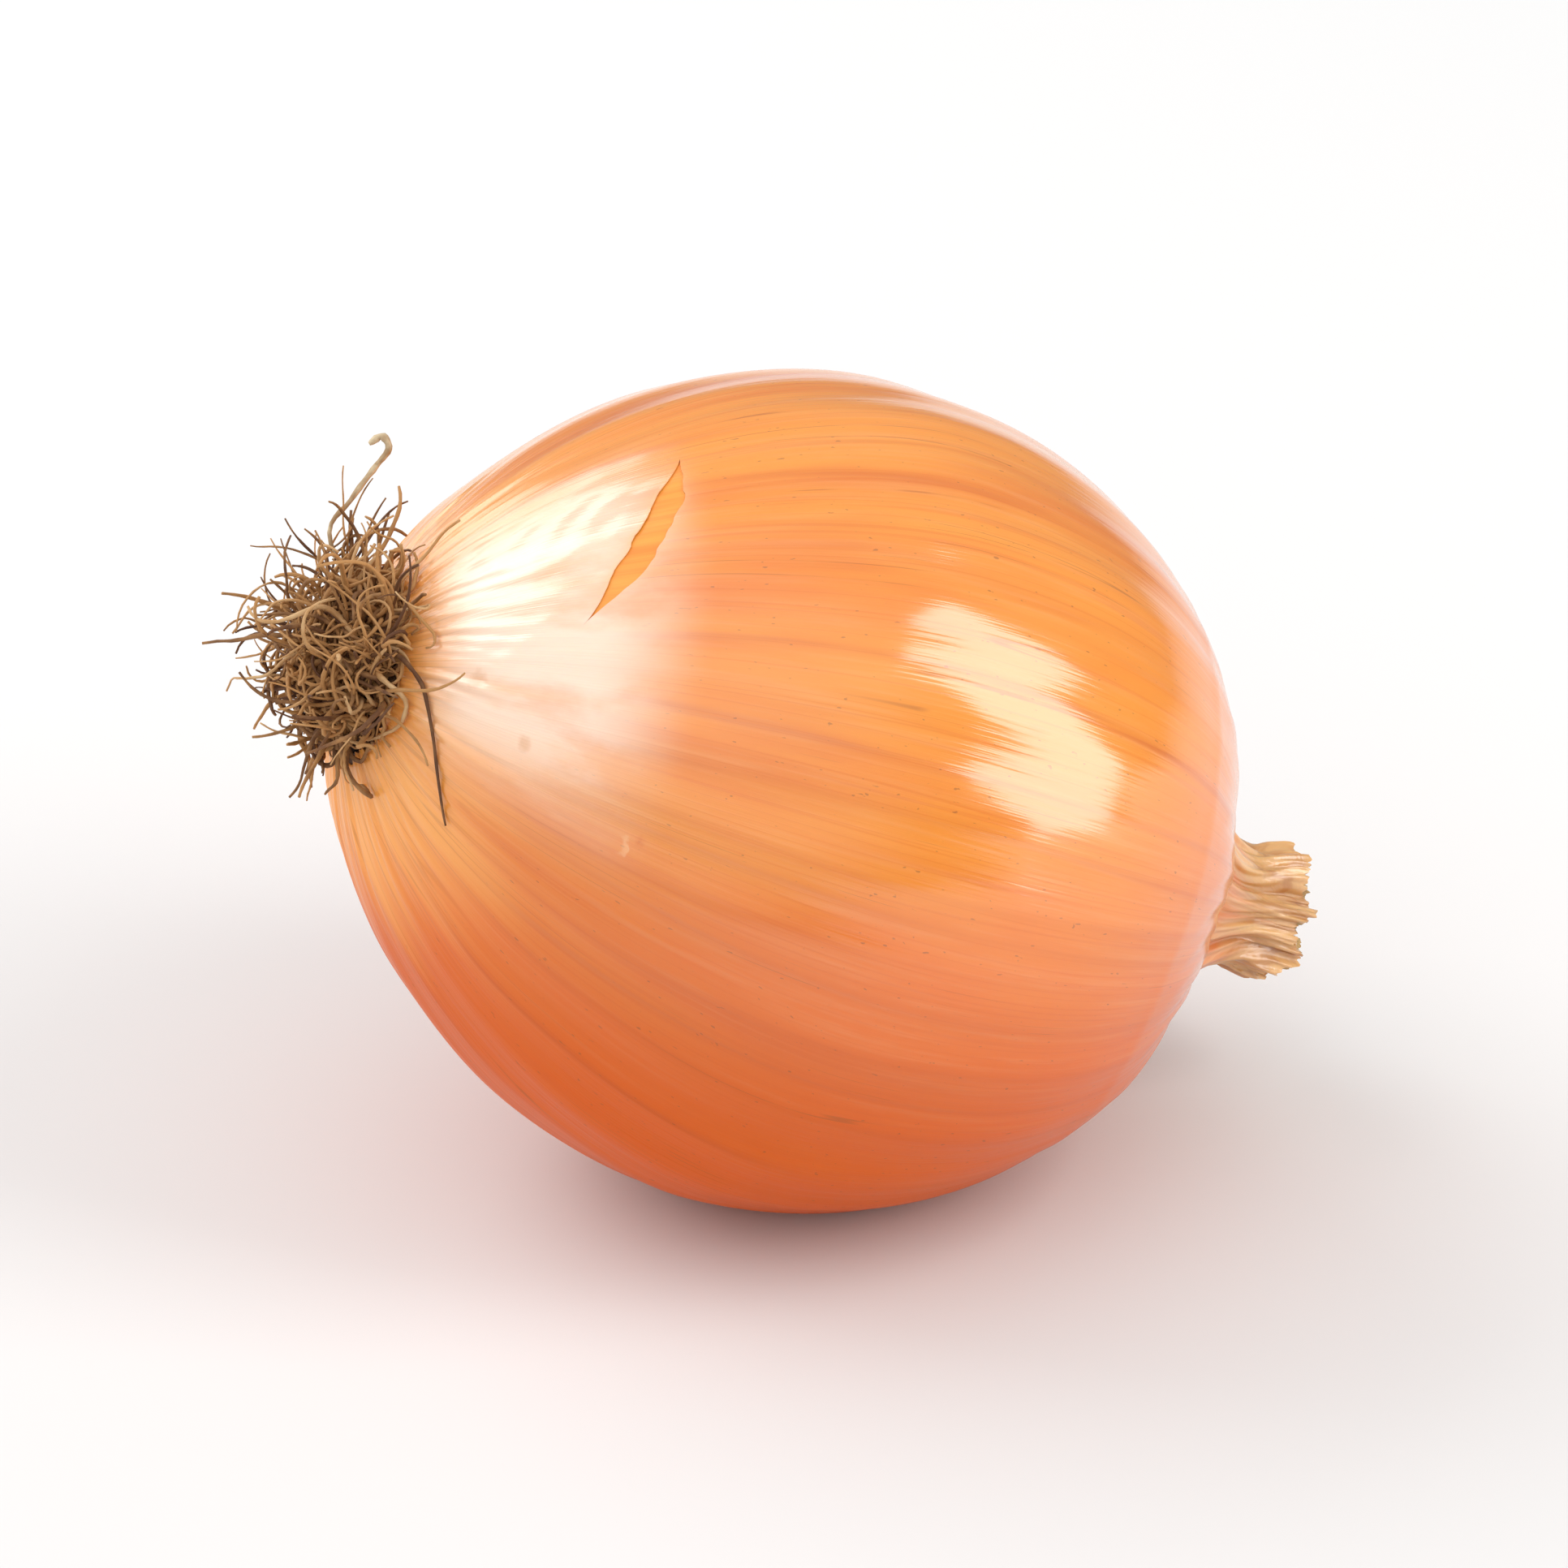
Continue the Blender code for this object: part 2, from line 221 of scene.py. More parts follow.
# The view, and the room's brighter side
CAMERA_AZIMUTH = math.radians(-16)
CAMERA_ELEVATION = math.radians(28)
CAMERA_DISTANCE = 0.9
CAMERA_REACH = 20.0
LAMPS_AIM = Vector((0.0, 0.0, 0.03))
BRIGHT_AZIMUTH = math.radians(-62)
BRIGHT_ELEVATION = math.radians(32)
GLOW_FROM = 0.1
GLOW = 0.75
ROOM_LOW = 0.20
ROOM_HIGH = 0.60
ROOM_HIGH_FROM = 0.9
VIEW_WIDTH = 122 * MM
SENSOR_WIDTH = 36.0

# Colours, linear
AMBER = (0.80, 0.180, 0.012, 1.0)
GOLDEN = (0.87, 0.30, 0.034, 1.0)
RUSSET = (0.64, 0.105, 0.004, 1.0)
PALE = (0.92, 0.50, 0.24, 1.0)
# Pale loose skin: partly its own paleness, partly painted sheen
SILK_AND_PAINTED_SHEEN = (0.96, 0.72, 0.56, 1.0)
STRAW = (0.76, 0.45, 0.18, 1.0)
HUSK = (0.40, 0.165, 0.040, 1.0)
BARK = (0.16, 0.062, 0.018, 1.0)
HONEY = (0.95, 0.42, 0.095, 1.0)
VEIN_RED = (0.52, 0.075, 0.003, 1.0)
VEIN_BROWN = (0.30, 0.075, 0.010, 1.0)
# Painted shade of the lower side and the neck end
EMBER_PAINTED_SHADE = (0.66, 0.088, 0.001, 1.0)
BLEMISH = (0.62, 0.26, 0.070, 1.0)
UNDER_GOLDEN = (0.92, 0.34, 0.035, 1.0)
UNDER_AMBER = (0.84, 0.25, 0.018, 1.0)
HOLLOW_PAINTED_SHADE = (0.035, 0.015, 0.007, 1.0)
PAPER_PALE = (0.64, 0.42, 0.16, 1.0)
PAPER_DARK = (0.25, 0.12, 0.035, 1.0)
PAPER_PAINTED_SHADE = (0.07, 0.03, 0.011, 1.0)
ROOT_DARK = (0.11, 0.040, 0.012, 1.0)
ROOT_BROWN = (0.48, 0.24, 0.080, 1.0)
ROOT_TAN = (0.80, 0.58, 0.32, 1.0)
ROOT_GREY_BROWN = (0.34, 0.21, 0.10, 1.0)
ROOT_GREY_TAN = (0.66, 0.53, 0.34, 1.0)
CORK_DARK = (0.045, 0.02, 0.009, 1.0)
CORK_BROWN = (0.24, 0.115, 0.05, 1.0)
FLOOR_GREY = (0.75, 0.75, 0.75, 1.0)
WHITE = (1.0, 1.0, 1.0, 1.0)


def smooth_step(low, high, value):
    """Rise from 0 at low to 1 at high, without corners."""
    share = np.clip((value - low) / (high - low), 0.0, 1.0)
    return share * share * (3.0 - 2.0 * share)


def smooth_max(first, second, blend):
    """The larger of two lengths, with a fillet where they are alike."""
    share = np.maximum(0.0, 1.0 - np.abs(first - second) / blend)
    return np.maximum(first, second) + share * share * blend / 4.0


def rounded(height, half_length, fullness):
    """Radius of the rounded bulb at a height, for one of its two halves."""
    share = np.minimum(1.0, np.abs(height) / half_length)
    return BULB_RADIUS * (1.0 - share ** fullness) ** (1.0 / fullness)


def skin_radius(height):
    """Radius of the outside at a height, from the dish to the neck's rim."""
    low = rounded(height, ROOT_HALF_LENGTH, ROOT_END_FULLNESS)
    body = rounded(height, NECK_HALF_LENGTH, NECK_END_FULLNESS)
    flare = smooth_step(NECK_HALF_LENGTH, NECK_RIM_HEIGHT, height)
    below_top = np.clip((SHOULDER_TOP - height) / SHOULDER_DEPTH, 0.0, 1.0)
    neck = NECK_RADIUS + NECK_FLARE * flare + SHOULDER_WIDTH * below_top ** 1.6
    high = smooth_max(body, neck, SHOULDER_BLEND)
    return np.where(height < 0.0, low, high)


def root_end_height(radius):
    """Height of the rounded root end at a distance from the axis."""
    share = np.minimum(1.0, radius / BULB_RADIUS)
    return -ROOT_HALF_LENGTH * (1.0 - share ** ROOT_END_FULLNESS) ** (1.0 / ROOT_END_FULLNESS)


LIP_RADIUS = DISH_RADIUS + DISH_LIP
LIP_HEIGHT = float(root_end_height(LIP_RADIUS))
fine_heights = np.linspace(float(root_end_height(COLLAR_RADIUS)), NECK_RIM_HEIGHT, OUTLINE_STEPS)
fine_radii = skin_radius(fine_heights)
fine_steps = np.hypot(np.diff(fine_heights), np.diff(fine_radii))
fine_lengths = np.concatenate([[0.0], np.cumsum(fine_steps)])
OUTLINE_LENGTH = float(fine_lengths[-1])


def on_outline(length):
    """Radius and height at a length along the outline, from the root plate to the neck's rim."""
    return np.interp(length, fine_lengths, fine_radii), np.interp(length, fine_lengths, fine_heights)


def wobble(angle):
    """Uneven waves round the axis, between about -1 and 1."""
    return 0.55 * np.cos(2 * angle + 0.7) + 0.3 * np.cos(3 * angle + 2.1) + 0.25 * np.cos(5 * angle)


def pleats(angle):
    """Pleats of the dried neck, uneven in depth."""
    return 0.7 * np.cos(PLEAT_COUNT * angle) + 0.45 * np.cos(7 * angle + 1.2)


def ragged(angle):
    """Ragged height of the neck's cut skins."""
    return 0.5 * np.sin(5 * angle + 0.4) + 0.35 * np.sin(9 * angle + 2.0) + 0.3 * np.sin(14 * angle)


def grown(radius, height, angle):
    """Where points of the plainly turned bulb lie on the grown one."""
    on_bulb = smooth_step(*SHAPE_SETS_IN, height)
    on_neck = smooth_step(*PLEATS_SET_IN, height)
    reach = np.maximum(0.0, height - NECK_BEND_FROM) / (NECK_RIM_HEIGHT - NECK_BEND_FROM)
    bend = NECK_BEND * reach ** 2
    radius = radius * (1.0 + OUT_OF_ROUND * on_bulb * wobble(angle))
    radius = radius + PLEAT_DEPTH * on_neck * pleats(angle) * np.minimum(1.0, radius / NECK_RADIUS)
    radius = radius + RIB_HEIGHT * on_bulb * (1.0 - on_neck) * np.cos(RIB_COUNT * angle)
    x = radius * np.cos(angle) + NECK_SIDE_BEND * bend
    y = radius * np.sin(angle) + bend
    return np.stack(np.broadcast_arrays(x, y, height), axis=-1)


def lying_matrix():
    """Turn the onion from standing on its roots to lying with its neck down at +X."""
    half_length = (ROOT_HALF_LENGTH + NECK_HALF_LENGTH) / 2.0
    reach = math.hypot(half_length * math.sin(TILT), BULB_RADIUS * math.cos(TILT))
    leaning = (half_length ** 2 - BULB_RADIUS ** 2) * math.sin(TILT) * math.cos(TILT)
    centre = Vector((-leaning / reach, 0.0, reach - FLAT_SPOT_RADIUS ** 2 / (2.0 * reach)))
    return Matrix.Translation(centre) @ Matrix.Rotation(math.radians(90) + TILT, 4, "Y")


LYING = lying_matrix()


def laid_down(points):
    """Points of the standing bulb where they lie, none of them below the floor."""
    turn = np.array(LYING.to_3x3())
    placed = points @ turn.T + np.array(LYING.translation)
    placed[..., 2] = np.maximum(placed[..., 2], FLOOR_CLEARANCE)
    return placed


def round_axis(columns):
    """Angles of the columns of a grid that closes round the axis."""
    return np.linspace(0.0, 2.0 * math.pi, columns, endpoint=False)[None, :]


def outward(points):
    """Unit normals of a grid of points whose columns go once round the axis."""
    around = np.roll(points, -1, axis=1) - np.roll(points, 1, axis=1)
    along = np.gradient(points, axis=0)
    normal = np.cross(around, along)
    return normal / np.maximum(np.linalg.norm(normal, axis=-1, keepdims=True), 1e-12)


def random_waves(angle, counts, seed):
    """Waves round the axis with drawn heights and phases, between about -1 and 1."""
    draw = random.Random(seed)
    total = np.zeros_like(angle)
    power = 0.0
    for count in counts:
        height = draw.uniform(0.5, 1.0)
        total = total + height * np.cos(count * angle + draw.uniform(0.0, 2.0 * math.pi))
        power += height * height
    return total / math.sqrt(power)


def wrapped(turn):
    """An angle brought between minus and plus half a turn."""
    return (turn + math.pi) % (2.0 * math.pi) - math.pi


def vein_relief(radius, height, angle):
    """Raised veins that run from the root end to the neck, 0 to about 1."""
    draw = random.Random(SKIN_SEED)
    width = VEIN_WIDTH * np.sqrt(np.maximum(radius, 3.0 * MM) / BULB_RADIUS)
    relief = np.zeros(np.broadcast(radius, angle).shape)
    for index in range(VEIN_COUNT):
        middle = 2.0 * math.pi * (index + draw.uniform(-0.4, 0.4)) / VEIN_COUNT
        sway = draw.uniform(-0.03, 0.03) * np.sin(height / (14.0 * MM) + draw.uniform(0.0, 6.0))
        distance = wrapped(angle - middle - sway) * radius
        relief += draw.uniform(0.15, 1.0) * np.exp(-((distance / width) ** 2))
    return relief


def dent_relief(points):
    """Slow swells and dents of the whole bulb, between about -1 and 1."""
    draw = random.Random(SKIN_SEED + 1)
    relief = np.zeros(points.shape[:-1])
    for _ in range(DENT_WAVES):
        direction = np.array([draw.gauss(0, 1), draw.gauss(0, 1), 0.5 * draw.gauss(0, 1)])
        direction *= 2.0 * math.pi / (draw.uniform(11.0, 30.0) * MM) / np.linalg.norm(direction)
        relief += np.cos(points @ direction + draw.uniform(0.0, 6.3))
    return relief / math.sqrt(DENT_WAVES)


def skin_relief(points, radius, height, angle, vein_height):
    """How far the skin stands out from the plain grown surface."""
    near_neck = smooth_step(*NECK_WRINKLES_SET_IN, height)
    on_bulb = smooth_step(*VEINS_SET_IN, height) * (1.0 - near_neck)
    collar = 1.0 - smooth_step(*COLLAR_DIES_OUT, height)
    sway = 0.05 * np.sin(height / (2.2 * MM))
    collar_waves = random_waves(angle + sway, (37, 52, 71, 90), SKIN_SEED + 2)
    neck_waves = random_waves(angle + 2.0 * sway, (19, 27, 34, 48), SKIN_SEED + 3)
    relief = vein_height * on_bulb * vein_relief(radius, height, angle)
    relief += DENT_DEPTH * on_bulb * dent_relief(points)
    relief += COLLAR_WRINKLE * collar * collar_waves
    relief += NECK_WRINKLE * near_neck * neck_waves
    return relief


def torn_steps(angle, count, seed):
    """Uneven steps of skin torn across its fibres, -1 to 1 and a little more."""
    draw = random.Random(seed)
    levels = np.array([draw.uniform(-1.0, 1.0) for _ in range(count)])
    place = (angle / (2.0 * math.pi)) % 1.0 * count
    index = np.floor(place).astype(int) % count
    share = smooth_step(0.25, 0.75, place - np.floor(place))
    steps = levels[index] * (1.0 - share) + levels[(index + 1) % count] * share
    return steps + 0.25 * random_waves(angle, (3 * count + 1, 5 * count + 2), seed + 1)


def tear_sides(angle):
    """Lengths along the outline of the tear's two edges, and how far it is open, 0 to 1."""
    turn = wrapped(angle - TEAR_ANGLE)
    opening = 1.0 - smooth_step(0.35 * TEAR_HALF_ANGLE, TEAR_HALF_ANGLE, np.abs(turn))
    near = 1.0 - smooth_step(1.3 * TEAR_HALF_ANGLE, 4.0 * TEAR_HALF_ANGLE, np.abs(turn))
    along = turn * float(skin_radius(TEAR_HEIGHT))
    height = TEAR_HEIGHT - near * (TEAR_SLANT * along + TEAR_BEND * along ** 2)
    line = np.interp(height, fine_heights, fine_lengths)
    low_edge = line - TEAR_HALF_WIDTH * opening * (1.0 + 0.12 * torn_steps(angle, count=131, seed=21))
    high_edge = line + TEAR_HALF_WIDTH * opening * (1.0 + 0.14 * torn_steps(angle, count=107, seed=22))
    return low_edge, high_edge, opening


def looseness(angle, height):
    """How loose the skin is round the tear, 0 to 1; there the skin is painted pale, partly its own
    paleness and partly painted sheen.
    """
    turn = np.abs(wrapped(angle - LOOSE_ANGLE))
    around = 1.0 - smooth_step(0.36 * LOOSE_HALF_ANGLE, LOOSE_HALF_ANGLE, turn)
    from_roots = smooth_step(*LOOSE_SETS_IN, height)
    from_side = 1.0 - smooth_step(*LOOSE_DIES_OUT, height)
    return around * from_roots * from_side


def grid_faces(rows, columns, first=0):
    """Quads of a grid whose columns close round the axis, facing outward."""
    faces = []
    for row in range(rows - 1):
        for column in range(columns):
            right = (column + 1) % columns
            low = first + row * columns
            faces.append((low + column, low + right, low + columns + right, low + columns + column))
    return faces


def make_mesh(name, points, faces, attributes):
    """A smooth mesh from points and faces, with a number for each point where named."""
    mesh = bpy.data.meshes.new(name)
    mesh.from_pydata(points.tolist(), [], faces)
    for label, values in attributes.items():
        layer = mesh.attributes.new(label, "FLOAT", "POINT")
        layer.data.foreach_set("value", np.asarray(values, np.float32).ravel())
    work = bmesh.new()
    work.from_mesh(mesh)
    bmesh.ops.remove_doubles(work, verts=work.verts, dist=SAME_POINT)
    work.to_mesh(mesh)
    work.free()
    mesh.shade_smooth()
    return mesh


def turn_rims_in(mesh):
    """Turn the open rims of a sheet inward, so that its edges show the skin's thickness."""
    work = bmesh.new()
    work.from_mesh(mesh)
    rims = [edge for edge in work.edges if edge.is_boundary]
    normals = {tuple(vertex.co): vertex.normal.copy() for edge in rims for vertex in edge.verts}
    made = bmesh.ops.extrude_edge_only(work, edges=rims)["geom"]
    for vertex in made:
        if isinstance(vertex, bmesh.types.BMVert):
            vertex.co -= normals[tuple(vertex.co)] * PAPER_THICKNESS
    work.to_mesh(mesh)
    work.free()
    mesh.set_sharp_from_angle(angle=SHARP_ANGLE)


def make_piece(mesh, material):
    """An object that shows a mesh in its material and rides on the onion's one body."""
    mesh.materials.append(material)
    piece = bpy.data.objects.new(mesh.name, mesh)
    bpy.context.scene.collection.objects.link(piece)
    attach(piece, "root")
    return piece


def make_grid_piece(name, rows, material):
    """A piece from rows of points that close round the axis."""
    points = laid_down(rows.reshape(-1, 3))
    mesh = make_mesh(name, points, grid_faces(rows.shape[0], rows.shape[1]), {})
    make_piece(mesh, material)


def skin_sheet(length, angle, lift):
    """Points of the outer skin at lengths along the outline, lifted where asked."""
    radius, height = on_outline(length)
    near_rim = smooth_step(NECK_RIM_HEIGHT - NECK_RIM_DEPTH, NECK_RIM_HEIGHT, height)
    strips = 0.6 * ragged(angle) + 0.6 * torn_steps(angle, count=19, seed=31)
    tall = height + NECK_RAGGED * near_rim * strips
    flare = NECK_RIM_FLARE * near_rim ** 2 * (0.2 + 0.7 * torn_steps(angle, count=11, seed=33))
    points = grown(radius + flare, tall, angle)
    normal = outward(points)
    relief = skin_relief(points, radius, height, angle, VEIN_HEIGHT) + lift
    return points + normal * relief[..., None], normal


def collar_sheet(angle, collar_edge, low_edge, opening):
    """The skin between the root plate and the tear, with its edge, loose and vein marks."""
    share = np.linspace(0.0, 1.0, COLLAR_ROWS)[:, None]
    length = collar_edge + (low_edge - collar_edge) * share
    from_tear = low_edge - length
    height = on_outline(length)[1]
    loose = looseness(angle, height)
    from_seam = np.maximum(opening, smooth_step(0.0, 5.0 * MM, from_tear))
    slanted = angle + 0.012 * (length - low_edge) / MM
    uneven = 0.7 + 0.5 * random_waves(slanted, (5, 8), seed=46)
    lengthwise = 0.5 + random_waves(slanted, (17, 26, 37), seed=45)
    folds = LOOSE_FOLD * loose * from_seam * uneven * lengthwise
    drift = 2.4 * random_waves(angle, (4, 7, 11), seed=47)
    across = 0.5 + 0.5 * np.cos(2.0 * math.pi * from_tear / CROSS_FOLD_SPACING + drift)
    folds = folds + CROSS_FOLD * loose * smooth_step(0.3 * MM, 2.5 * MM, from_tear) * uneven * across
    curl = TEAR_LIFT * opening * np.exp(-from_tear / TEAR_LIFT_LENGTH)
    rim_curl = COLLAR_CURL * np.exp(-(length - collar_edge) / COLLAR_CURL_LENGTH)
    rim_curl = rim_curl * (0.4 + 0.6 * torn_steps(angle, count=17, seed=43))
    points, _ = skin_sheet(length, angle, folds + curl + rim_curl)
    edge = opening * np.exp(-from_tear / (0.35 * MM))
    return points, edge, loose, vein_mark(length, angle)


def vein_mark(length, angle):
    """How much a raised vein colours the skin, 0 to about 1."""
    return vein_relief(*on_outline(length), angle) ** 2


def body_sheet(angle, high_edge, opening):
    """The skin from the tear to the neck's rim and down inside it, with its marks."""
    share = np.linspace(0.0, 1.0, BODY_ROWS)[:, None]
    length = high_edge + (OUTLINE_LENGTH - high_edge) * share
    from_tear = length - high_edge
    points, normal = skin_sheet(length, angle, 0.0)
    inside = (points - normal * NECK_PAPER)[::-1][:NECK_INSIDE_ROWS]
    edge = 0.4 * opening * np.exp(-from_tear / (0.3 * MM))
    loose = looseness(angle, on_outline(length)[1])
    near_neck = smooth_step(*CREASE_SHADE_SETS_IN, on_outline(length)[1])
    # Painted shade in the hollows of the neck's pleats
    crease_shade = near_neck * smooth_step(-0.1, 0.9, -pleats(angle))
    no_mark = np.zeros((NECK_INSIDE_ROWS, SKIN_COLUMNS))
    all_marks = (edge, loose, crease_shade, vein_mark(length, angle))
    marks = [np.concatenate([mark, no_mark]) for mark in all_marks]
    return np.concatenate([points, inside]), marks


def make_outer_skin(material):
    """The dry outermost skin, torn open in one place and ragged at both ends."""
    angle = round_axis(SKIN_COLUMNS)
    low_edge, high_edge, opening = tear_sides(angle)
    collar_edge = COLLAR_RAGGED * (1.0 + torn_steps(angle, count=23, seed=41))
    collar, collar_mark, loose, vein = collar_sheet(angle, collar_edge, low_edge, opening)
    body, body_marks = body_sheet(angle, high_edge, opening)
    points = np.concatenate([collar.reshape(-1, 3), body.reshape(-1, 3)])
    faces = grid_faces(COLLAR_ROWS, SKIN_COLUMNS)
    faces += grid_faces(BODY_ROWS + NECK_INSIDE_ROWS, SKIN_COLUMNS, COLLAR_ROWS * SKIN_COLUMNS)
    marks = {
        "edge": np.concatenate([collar_mark, body_marks[0]]),
        "loose": np.concatenate([loose, body_marks[1]]),
        "crease_shade": np.concatenate([np.zeros_like(loose), body_marks[2]]),
        "vein": np.concatenate([vein, body_marks[3]]),
    }
    mesh = make_mesh("outer_skin", laid_down(points), faces, marks)
    turn_rims_in(mesh)
    piece = make_piece(mesh, material)
    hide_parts("bulb")


def make_under_skin(material):
    """The next skin below, which shows through the tear, in the dish and down the neck."""
    angle = round_axis(UNDER_COLUMNS)
    length = np.linspace(0.0, OUTLINE_LENGTH - UNDER_SHORTER, UNDER_ROWS)[:, None]
    radius, height = on_outline(length)
    points = grown(radius, height, angle)
    depth = UNDER_SKIN_DEPTH + UNDER_NECK_DEPTH * smooth_step(*UNDER_NECK_SETS_IN, height)
    relief = skin_relief(points, radius, height, angle, 0.0) - depth
    points = points + outward(points) * relief[..., None]
    rows = []
    for share, sunk in ((0.0, 2.2), (0.5, 2.0), (0.9, 1.2)):
        rows.append(points[:1] * [share, share, 1.0] + [0.0, 0.0, sunk * MM])
    rows.append(points)
    middle = points[-1:].mean(axis=1, keepdims=True)
    for share, sunk in ((0.7, 0.4), (0.35, 0.9), (0.0, 1.0)):
        rows.append(middle + (points[-1:] - middle) * share - [0.0, 0.0, sunk * MM])
    make_grid_piece("under_skin", np.concatenate(rows), material)


def make_neck_layer(index, material):
    """One of the papery skins inside the cut neck, a thin tube with a ragged rim."""
    angle = round_axis(NECK_LAYER_COLUMNS)
    foot = NECK_LAYER_FOOT
    inset = (0.85 + 0.8 * index) * MM
    rim = NECK_RIM_HEIGHT + NECK_LAYER_RIMS[index]
    share = np.linspace(0.0, 1.0, NECK_LAYER_ROWS)[:, None]
    height = foot + (rim - foot) * share
    waves = random_waves(angle + 0.3 * share, (5 + 2 * index, 8 + index, 13, 21), seed=51 + index)
    foot_inset = FOOT_INSET * (1.0 - smooth_step(foot, foot + 3.5 * MM, height))
    radius = skin_radius(np.minimum(height, NECK_RIM_HEIGHT)) - inset - foot_inset + 0.22 * MM * waves
    near_rim = smooth_step(rim - 5.0 * MM, rim, height)
    height = height + 1.0 * MM * near_rim * torn_steps(angle, count=13 - 2 * index, seed=61 + index)
    points = grown(radius, height, angle)
    inside = (points - outward(points) * NECK_PAPER)[::-1]
    rows = np.concatenate([points, inside])
    make_grid_piece(f"neck_layer_{index + 1}", rows, material)


def tube_rings(line, radii, sides):
    """Rings of points round a line, carried along it without twisting."""
    headings = np.gradient(line, axis=0)
    headings /= np.maximum(np.linalg.norm(headings, axis=1, keepdims=True), 1e-12)
    turns = np.arange(sides)[:, None] * 2.0 * math.pi / sides
    side = np.cross(headings[0], [0.3, 0.5, 0.8])
    rings = []
    for place, heading, radius in zip(line, headings, radii):
        side = side - heading * np.dot(side, heading)
        side /= np.linalg.norm(side)
        other = np.cross(heading, side)
        rings.append(place + radius * (np.cos(turns) * side + np.sin(turns) * other))
    return np.array(rings)


def make_strands(name, strands, sides, material):
    """Many thin tubes in one mesh. Each strand is its line, its radii and its tint."""
    points, faces, tints = [], [], []
    first = 0
    for line, radii, tint in strands:
        count = len(line)
        points.append(tube_rings(line, radii, sides).reshape(-1, 3))
        faces += grid_faces(count, sides, first)
        faces.append(tuple(first + side for side in reversed(range(sides))))
        faces.append(tuple(first + (count - 1) * sides + side for side in range(sides)))
        tints.append(np.full(count * sides, tint))
        first += count * sides
    mesh = make_mesh(name, laid_down(np.concatenate(points)), faces, {"tint": np.concatenate(tints)})
    return make_piece(mesh, material)


def clear_of_skin(point, clearance):
    """Move a point of a root out to where it lies clear of the bulb."""
    limit = float(root_end_height(math.hypot(point.x, point.y))) - clearance
    if point.z > limit:
        return Vector((point.x, point.y, limit))
    return point


def random_way(draw):
    """A direction drawn evenly from all round."""
    return Vector((draw.gauss(0, 1), draw.gauss(0, 1), draw.gauss(0, 1))).normalized()


def curly_line(start, heading, length, draw, curl, wander):
    """Points of a dried root that curls and wanders as it leaves the plate."""
    axis = random_way(draw)
    place = start.copy()
    points = [start - heading * 1.0 * MM]
    for _ in range(ROOT_POINTS - 1):
        axis = (axis + wander * random_way(draw)).normalized()
        heading = (Quaternion(axis, curl / ROOT_POINTS) @ heading).normalized()
        place = clear_of_skin(place + heading * length / ROOT_POINTS, ROOT_CLEARANCE)
        points.append(place.copy())
    return np.array([tuple(point) for point in points])


def is_inside(line, low, high):
    """Whether a root along a line of the standing bulb lies inside a box of the frame."""
    placed = laid_down(line)
    above = placed > np.array(low) + ROOT_MARGIN
    below = placed < np.array(high) - ROOT_MARGIN
    return bool(above.all() and below.all())


def root_line(place_share, angle, length, curl, wander, draw, box):
    """One dried root, shortened until it stays inside the solid tuft's box."""
    outward_way = Vector((math.cos(angle), math.sin(angle), 0.0))
    start = outward_way * PLATE_RADIUS * ROOT_START * place_share
    start.z = LIP_HEIGHT - PLATE_DOME * (1.0 - 0.85 * place_share * place_share)
    splay = math.radians(8 + 58 * place_share) + draw.gauss(0.0, 0.22)
    heading = outward_way * math.sin(splay) - Vector((ROOT_LEAN, 0.0, math.cos(splay)))
    heading.normalize()
    while True:
        state = draw.getstate()
        line = curly_line(start, heading, length, draw, curl, wander)
        if is_inside(line, *box) or length < ROOT_SHORTEST:
            return line
        draw.setstate(state)
        length *= ROOT_SHORTENING


def smooth_line(points_in_mm, count):
    """A smooth line through a few points given in millimetres."""
    given = np.array(points_in_mm) * MM
    knots = np.vstack([2 * given[0] - given[1], given, 2 * given[-1] - given[-2]])
    line = []
    for place in np.linspace(0.0, len(given) - 1.001, count):
        index = int(place)
        t = place - index
        a, b, c, d = knots[index:index + 4]
        slope = (c - a) * t
        bend = (2 * a - 5 * b + 4 * c - d) * t ** 2
        twist = (3 * b - a - 3 * c + d) * t ** 3
        line.append(0.5 * (2 * b + slope + bend + twist))
    return np.array(line)


def root_radii(count, radius, draw):
    """Radii along a dried root, uneven and thinner towards its tip."""
    share = np.linspace(0.0, 1.0, count)
    uneven = np.array([draw.uniform(0.84, 1.18) for _ in range(count)])
    return radius * (1.0 - 0.55 * share ** 1.5) * uneven


def root_strands(draw, box):
    """The long roots that fan out, and the short curled ones that felt the mat."""
    strands = []
    for index in range(LONG_ROOTS + FELT_ROOTS):
        is_long = index < LONG_ROOTS
        count = LONG_ROOTS if is_long else FELT_ROOTS
        share = math.sqrt((index % LONG_ROOTS + 0.5) / count) if is_long else draw.uniform(0.15, 1.0)
        angle = index * ROOT_TURN + draw.uniform(-0.2, 0.2)
        reach = ROOT_LENGTH * (1.0 - ROOT_LOWER_LOSS * max(0.0, math.cos(angle)))
        if is_long:
            length = reach * draw.uniform(0.45, 1.15)
            curl = math.radians(draw.uniform(70, 420))
        else:
            length = reach * draw.uniform(0.45, 0.9)
            curl = math.radians(draw.uniform(300, 760))
        line = root_line(share, angle, length, curl, 0.8, draw, box)
        radius = ROOT_RADIUS * draw.uniform(0.6, 1.5)
        strands.append((line, root_radii(ROOT_POINTS, radius, draw), draw.uniform(0.0, 1.0)))
    return strands


